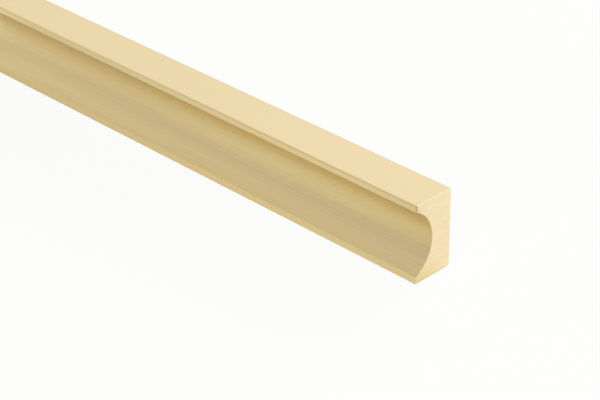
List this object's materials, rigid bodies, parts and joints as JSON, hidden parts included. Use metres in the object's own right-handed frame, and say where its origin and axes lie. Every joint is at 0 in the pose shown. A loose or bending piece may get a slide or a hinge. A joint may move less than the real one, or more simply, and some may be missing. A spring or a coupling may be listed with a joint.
{
  "type": "furniture handle",
  "caption": "Straight brass cabinet and drawer pull cut from rectangular bar, with a round finger scoop along one side and blind screw holes in its narrow mounting face.",
  "frame": {"origin": "centre of the mounting face, the narrow face that is screwed against the drawer front", "axes": "+X along the pull, -Y out of the finger scoop, +Y out of the flat back, +Z away from the drawer front"},
  "size_m": [0.2, 0.0136, 0.024],
  "materials": {
    "brushed_brass": "fine satin brushing along the bar and across the end faces, clear and untarnished, with lightly broken edges"
  },
  "bodies": {
    "root": {"handle": "brushed_brass"}
  },
  "joints": []
}
